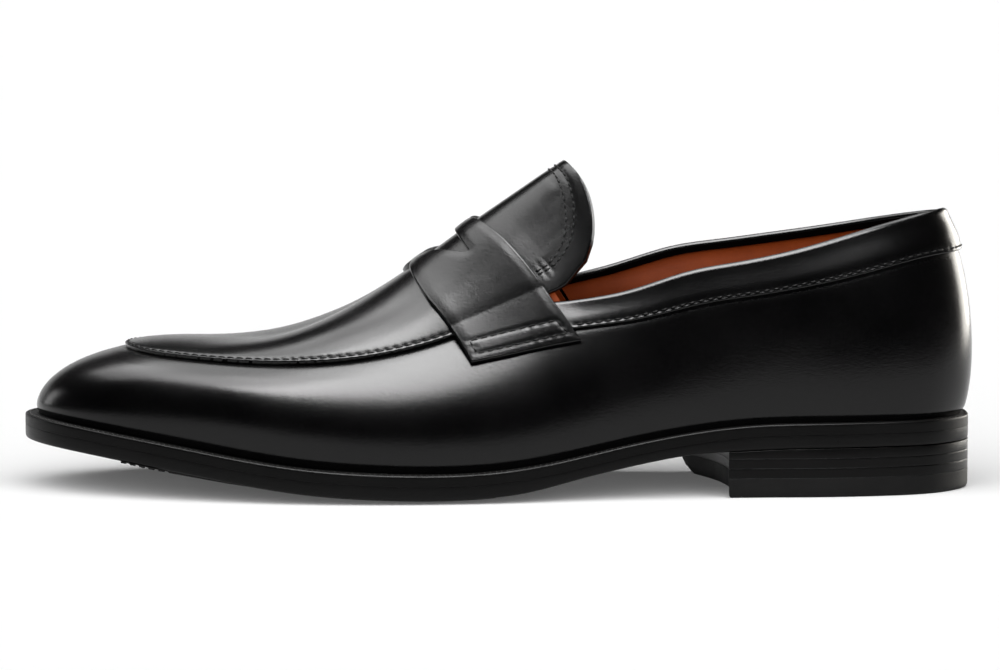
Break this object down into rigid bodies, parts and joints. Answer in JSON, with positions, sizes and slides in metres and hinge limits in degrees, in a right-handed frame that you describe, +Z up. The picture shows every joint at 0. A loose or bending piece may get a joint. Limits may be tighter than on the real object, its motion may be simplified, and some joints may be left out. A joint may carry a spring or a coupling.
{
  "type": "penny loafer",
  "caption": "Left penny loafer with stitched apron, slotted saddle strap, tongue, bound collar, full welt, leather sole with ribbed grip pad and stacked heel.",
  "frame": {"origin": "centre of the bounding box in plan, on the floor plane that the heel and the ball of the sole rest on", "axes": "+X from the toe towards the heel, +Y from the lateral (outer) side towards the medial (inner) side, +Z up"},
  "size_m": [0.3038, 0.1026, 0.1042],
  "materials": {
    "black_calf": "smooth box calf, polished to a semi-gloss",
    "lining_leather": "smooth red-brown lining calf, satin",
    "sock_leather": "smooth red-brown lining calf, matte",
    "sole_leather": "black-dyed sole leather, waxed satin edge",
    "welt_leather": "black-dyed welt strip, satin",
    "grip_rubber": "matte ribbed rubber",
    "heel_leather": "stacked black-dyed leather, waxed satin edge",
    "top_piece_rubber": "matte rubber",
    "cork": "granulated cork",
    "shank_steel": "plain spring steel strip",
    "insole_leather": "undyed vegetable-tanned board",
    "foam": "soft foam pad",
    "nail_brass": "plain brass wire nails",
    "stiffener": "hard moulded leather board",
    "welt_thread": "waxed grey-black linen thread",
    "upper_thread": "waxed black thread"
  },
  "bodies": {
    "root": {"side_wall": "black_calf", "vamp_plug": "black_calf", "saddle_strap": "black_calf", "collar_band": "black_calf", "vamp_lining": "lining_leather", "quarter_lining": "lining_leather", "tongue_lining": "lining_leather", "sock_lining": "sock_leather", "outsole": "sole_leather", "welt": "welt_leather", "tread_pad": "grip_rubber", "heel_lift_1": "heel_leather", "heel_lift_2": "heel_leather", "heel_lift_3": "heel_leather", "top_piece": "top_piece_rubber", "bottom_filler": "cork", "shank": "shank_steel", "insole_board": "insole_leather", "heel_pad": "foam", "heel_nails": "nail_brass", "heel_counter": "stiffener", "toe_puff": "stiffener", "welt_thread": "welt_thread", "apron_thread": "upper_thread", "strap_thread": "upper_thread", "collar_thread": "upper_thread", "tongue_thread": "upper_thread"}
  },
  "joints": []
}
